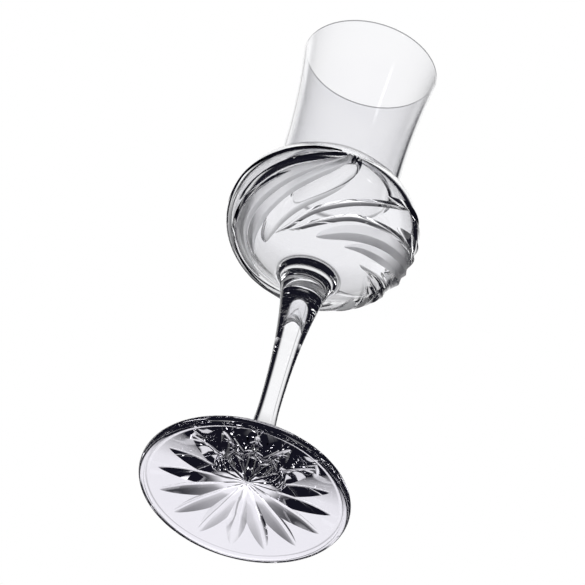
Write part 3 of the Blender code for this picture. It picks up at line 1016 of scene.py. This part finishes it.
def studio_world(studio):
    """The light of the studio, which depends on the way that light takes.

    The camera sees white, and the matt floor a white dome. The glass sees a lit backdrop behind it,
    with a dark flag on its left, and a strip light on the camera's side. Light that wasn't mirrored sees
    low light all round as well. Light mirrored once sees two low bands behind the glass. Light mirrored
    more often sees the backdrop higher up, and small lamps all round, and in the end it is lost.
    """
    world = bpy.data.worlds.new("studio")
    world.use_nodes = True
    tree = world.node_tree
    tree.nodes.clear()
    way = Wire(tree, tree.nodes.new("ShaderNodeTexCoord").outputs["Generated"])
    parts = tree.nodes.new("ShaderNodeSeparateXYZ")
    tree.links.new(way.socket, parts.inputs[0])
    x, y, z = (Wire(tree, socket) for socket in parts.outputs)
    aside = way.math("ARCTAN2", x, y)
    up = way.math("ARCSINE", z)
    soft = studio.softness
    paths = tree.nodes.new("ShaderNodeLightPath")
    seen = Wire(tree, paths.outputs["Is Camera Ray"])
    matt = way.math("MINIMUM", Wire(tree, paths.outputs["Diffuse Depth"]), 1.0)
    depth = Wire(tree, paths.outputs["Glossy Depth"])
    mirrored = way.math("MINIMUM", depth, 1.0)
    tossed = way.math("MINIMUM", way.math("MAXIMUM", depth - 1.0, 0.0), 1.0)
    lost = depth.step(MIRRORINGS, MIRRORINGS + 1)

    def across(offset, half_width, core):
        """1 in the core of a lamp or a flag, falling to 0 at its half width."""
        return way.math("ABSOLUTE", offset).step(half_width, core * half_width)

    def upright(low, high):
        """1 from the lower to the upper end of a lamp, which fades at both."""
        return up.step(low, low + soft) * up.step(high + soft, high)

    slanted = aside - studio.lean * (up - studio.view_drop)
    lit = slanted.step(studio.right_reach + studio.right_fade, studio.right_reach - studio.right_fade)
    lit *= aside.step(-studio.left_reach - studio.left_fade, -studio.left_reach + studio.left_fade)
    height = up - studio.mirror_drop * tossed
    rise = height.ramp(studio.low_reach, studio.full_reach) ** studio.rise_bend
    lit *= studio.backdrop * rise + studio.overhead * height.step(studio.overhead_reach, studio.top_reach)
    flag = across(aside - studio.flag_azimuth, studio.flag_width, FLAG_CORE)
    lit *= 1.0 - studio.flag * flag * up.step(studio.flag_low, studio.flag_low + soft)
    strip = across(aside - studio.strip_azimuth, studio.strip_width, LAMP_CORE)
    strip *= upright(studio.strip_low, studio.strip_high)
    lit += studio.strip * strip
    half = studio.glint_spacing / 2
    glint = way.math("WRAP", aside - studio.glint_azimuth, -half, half)
    glint = across(glint, studio.glint_width, LAMP_CORE)
    glint *= upright(studio.glint_low, studio.glint_high)
    lit += studio.glint * glint * tossed
    reach = studio.horizon_reach * (1.0 - SINK_SHARE * y.step(SINK_START, SINK_END))
    band = (reach + soft - up).step(0.0, 2 * soft) * (1.0 - mirrored)
    lit = way.math("MAXIMUM", lit, band)
    for level in (studio.glow_low, studio.glow_high):
        glow = way.math("ABSOLUTE", up - level).step(2 * studio.glow_width, studio.glow_width)
        lit += studio.glow * glow * (mirrored - tossed) * y.step(0.0, GLOW_FULL)
    lit *= 1.0 - lost
    room = way.mix(lit, rgba(studio.shade), WHITE, clamp=False)
    filled = way.mix(matt, room, rgba((studio.fill,) * 3))
    light = way.node("ShaderNodeBackground", Color=way.mix(seen, filled, WHITE))
    end = tree.nodes.new("ShaderNodeOutputWorld")
    tree.links.new(light.socket, end.inputs["Surface"])
    world.cycles.sampling_method = "NONE"
    return world


def pale_floor(studio):
    """The floor's finish: pale and matt, and open from below, where the camera looks up through it.

    Light mirrored once in the glass meets it only behind the glass, and light mirrored more often doesn't.
    """
    material, coords = start_material("pale_floor")
    patches = rgba(tuple(FLOOR_PATCHES * v for v in studio.floor))
    colour_wire = coords.mix(coords.noise(FLOOR_CLOUD), rgba(studio.floor), patches)
    matt = coords.node("ShaderNodeBsdfDiffuse", Color=colour_wire)
    open_face = coords.node("ShaderNodeBsdfTransparent")
    side = coords.node("ShaderNodeNewGeometry", output="Backfacing")
    mirrored = coords.node("ShaderNodeLightPath", output="Glossy Depth")
    near = coords.node("ShaderNodeSeparateXYZ", output="Y", Vector=coords).step(FLOOR_FAR, FLOOR_NEAR)
    again = coords.math("MAXIMUM", mirrored - 1.0, 0.0)
    hidden = coords.math("MINIMUM", side + again + near * mirrored, 1.0)
    return end_material(material, coords.node("ShaderNodeMixShader", i0=hidden, i1=matt, i2=open_face))


class GLASS_OT_stage(bpy.types.Operator):
    """Build the floor, the studio light and the camera"""

    bl_idname = "glass.stage"
    bl_label = "Stage"

    def execute(self, context):
        scene = context.scene
        studio = scene.glass_studio
        scene.view_settings.view_transform = "Standard"
        for kind, most in LIGHT_BOUNCES.items():
            setattr(scene.cycles, kind, most)
        scene.world = studio_world(studio)

        disc = bmesh.new()
        bmesh.ops.create_circle(disc, cap_ends=True, radius=studio.floor_radius, segments=FLOOR_SIDES)
        mesh = bpy.data.meshes.new("floor")
        disc.to_mesh(mesh)
        disc.free()
        mesh.materials.append(pale_floor(studio))
        floor = add_object("floor", mesh)
        floor.location.z = -FLOOR_DROP

        lens = bpy.data.cameras.new("camera")
        camera = add_object("camera", lens)
        drop, roll = studio.view_drop, studio.view_roll
        back = Vector((0.0, -math.cos(drop), -math.sin(drop)))
        level = Vector((1.0, 0.0, 0.0))
        upright = Vector((0.0, -math.sin(drop), math.cos(drop)))
        right = level * math.cos(roll) + upright * math.sin(roll)
        up = upright * math.cos(roll) - level * math.sin(roll)
        turn = Matrix((right, up, back)).transposed().to_4x4()
        turn.translation = Vector(LOOK_AT) + back * studio.view_distance
        camera.matrix_world = turn
        lens.lens = lens.sensor_width * studio.view_distance / studio.view_width
        scene.camera = camera
        return {"FINISHED"}


class GLASS_PT_panel(bpy.types.Panel):
    """Lists the pieces and their sizes in the sidebar"""

    bl_idname = "GLASS_PT_panel"
    bl_label = "Grappa Glass"
    bl_space_type = "VIEW_3D"
    bl_region_type = "UI"
    bl_category = "Glass"

    def draw(self, context):
        for operator in OPERATORS:
            self.layout.operator(operator.bl_idname)
        for name, group in GROUPS.items():
            box = self.layout.box()
            for prop in group.__annotations__:
                box.prop(getattr(context.scene, name), prop)


GROUPS = {
    "glass_sizes": GlassSizes,
    "glass_cuts": GlassCuts,
    "glass_finish": GlassFinish,
    "glass_studio": GlassStudio,
}
OPERATORS = (GLASS_OT_stage, GLASS_OT_foot, GLASS_OT_stem, GLASS_OT_bowl)


def register():
    for group in GROUPS.values():
        bpy.utils.register_class(group)
    for operator in OPERATORS:
        bpy.utils.register_class(operator)
    bpy.utils.register_class(GLASS_PT_panel)
    for name, group in GROUPS.items():
        setattr(bpy.types.Scene, name, PointerProperty(type=group))


def unregister():
    for name in GROUPS:
        delattr(bpy.types.Scene, name)
    bpy.utils.unregister_class(GLASS_PT_panel)
    for operator in reversed(OPERATORS):
        bpy.utils.unregister_class(operator)
    for group in reversed(list(GROUPS.values())):
        bpy.utils.unregister_class(group)


def main():
    register()
    bpy.ops.glass.stage()
    bpy.ops.glass.foot()
    bpy.ops.glass.stem()
    bpy.ops.glass.bowl()


if __name__ == "__main__":
    main()
